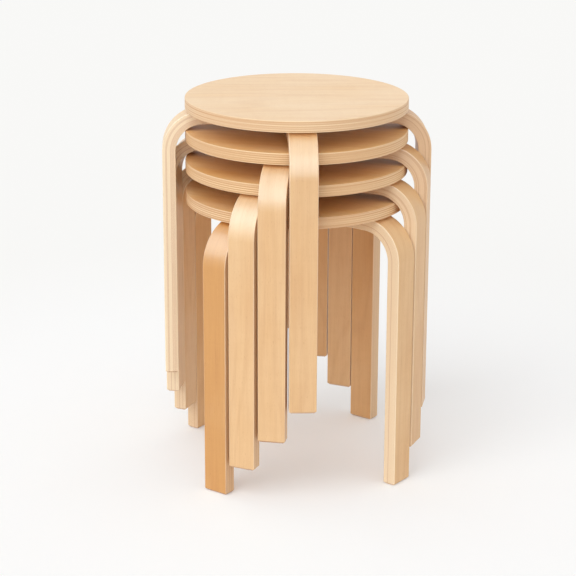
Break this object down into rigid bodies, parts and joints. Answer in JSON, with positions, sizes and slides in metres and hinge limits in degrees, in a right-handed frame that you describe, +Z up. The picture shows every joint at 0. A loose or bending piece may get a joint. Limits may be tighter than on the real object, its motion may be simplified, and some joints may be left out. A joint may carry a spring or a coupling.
{
  "type": "stacking stool",
  "caption": "Round plywood stools with bent laminated legs, nested in a turned stack; each stool lifts straight off the one below.",
  "frame": {"origin": "on the common axis of the stools, on the floor that the bottom stool stands on", "axes": "+Z up; -Y points to the front, where the stepped row of front legs is seen; +X to the right as seen from the front"},
  "size_m": [0.4234, 0.4234, 0.599],
  "materials": {
    "seat_ply": "satin clear lacquer on birch plywood, bare ply layers on the rim",
    "leg_laminate": "satin clear lacquer on bent birch laminate, bare layers on the narrow sides",
    "screw_steel": "zinc plated, satin"
  },
  "bodies": {
    "stool_1": {"stool_1_seat": "seat_ply", "stool_1_leg_1": "leg_laminate", "stool_1_leg_1_inner_screw": "screw_steel", "stool_1_leg_1_outer_screw": "screw_steel", "stool_1_leg_2": "leg_laminate", "stool_1_leg_2_inner_screw": "screw_steel", "stool_1_leg_2_outer_screw": "screw_steel", "stool_1_leg_3": "leg_laminate", "stool_1_leg_3_inner_screw": "screw_steel", "stool_1_leg_3_outer_screw": "screw_steel", "stool_1_leg_4": "leg_laminate", "stool_1_leg_4_inner_screw": "screw_steel", "stool_1_leg_4_outer_screw": "screw_steel"},
    "stool_2": {"stool_2_seat": "seat_ply", "stool_2_leg_1": "leg_laminate", "stool_2_leg_1_inner_screw": "screw_steel", "stool_2_leg_1_outer_screw": "screw_steel", "stool_2_leg_2": "leg_laminate", "stool_2_leg_2_inner_screw": "screw_steel", "stool_2_leg_2_outer_screw": "screw_steel", "stool_2_leg_3": "leg_laminate", "stool_2_leg_3_inner_screw": "screw_steel", "stool_2_leg_3_outer_screw": "screw_steel", "stool_2_leg_4": "leg_laminate", "stool_2_leg_4_inner_screw": "screw_steel", "stool_2_leg_4_outer_screw": "screw_steel"},
    "stool_3": {"stool_3_seat": "seat_ply", "stool_3_leg_1": "leg_laminate", "stool_3_leg_1_inner_screw": "screw_steel", "stool_3_leg_1_outer_screw": "screw_steel", "stool_3_leg_2": "leg_laminate", "stool_3_leg_2_inner_screw": "screw_steel", "stool_3_leg_2_outer_screw": "screw_steel", "stool_3_leg_3": "leg_laminate", "stool_3_leg_3_inner_screw": "screw_steel", "stool_3_leg_3_outer_screw": "screw_steel", "stool_3_leg_4": "leg_laminate", "stool_3_leg_4_inner_screw": "screw_steel", "stool_3_leg_4_outer_screw": "screw_steel"},
    "stool_4": {"stool_4_seat": "seat_ply", "stool_4_leg_1": "leg_laminate", "stool_4_leg_1_inner_screw": "screw_steel", "stool_4_leg_1_outer_screw": "screw_steel", "stool_4_leg_2": "leg_laminate", "stool_4_leg_2_inner_screw": "screw_steel", "stool_4_leg_2_outer_screw": "screw_steel", "stool_4_leg_3": "leg_laminate", "stool_4_leg_3_inner_screw": "screw_steel", "stool_4_leg_3_outer_screw": "screw_steel", "stool_4_leg_4": "leg_laminate", "stool_4_leg_4_inner_screw": "screw_steel", "stool_4_leg_4_outer_screw": "screw_steel"}
  },
  "joints": [
    {"name": "lift_stool_2", "type": "slide", "parent": "stool_1", "child": "stool_2", "axis": [0, 0, 1], "range_m": [0, 0.45]},
    {"name": "lift_stool_3", "type": "slide", "parent": "stool_2", "child": "stool_3", "axis": [0, 0, 1], "range_m": [0, 0.45]},
    {"name": "lift_stool_4", "type": "slide", "parent": "stool_3", "child": "stool_4", "axis": [0, 0, 1], "range_m": [0, 0.45]}
  ]
}
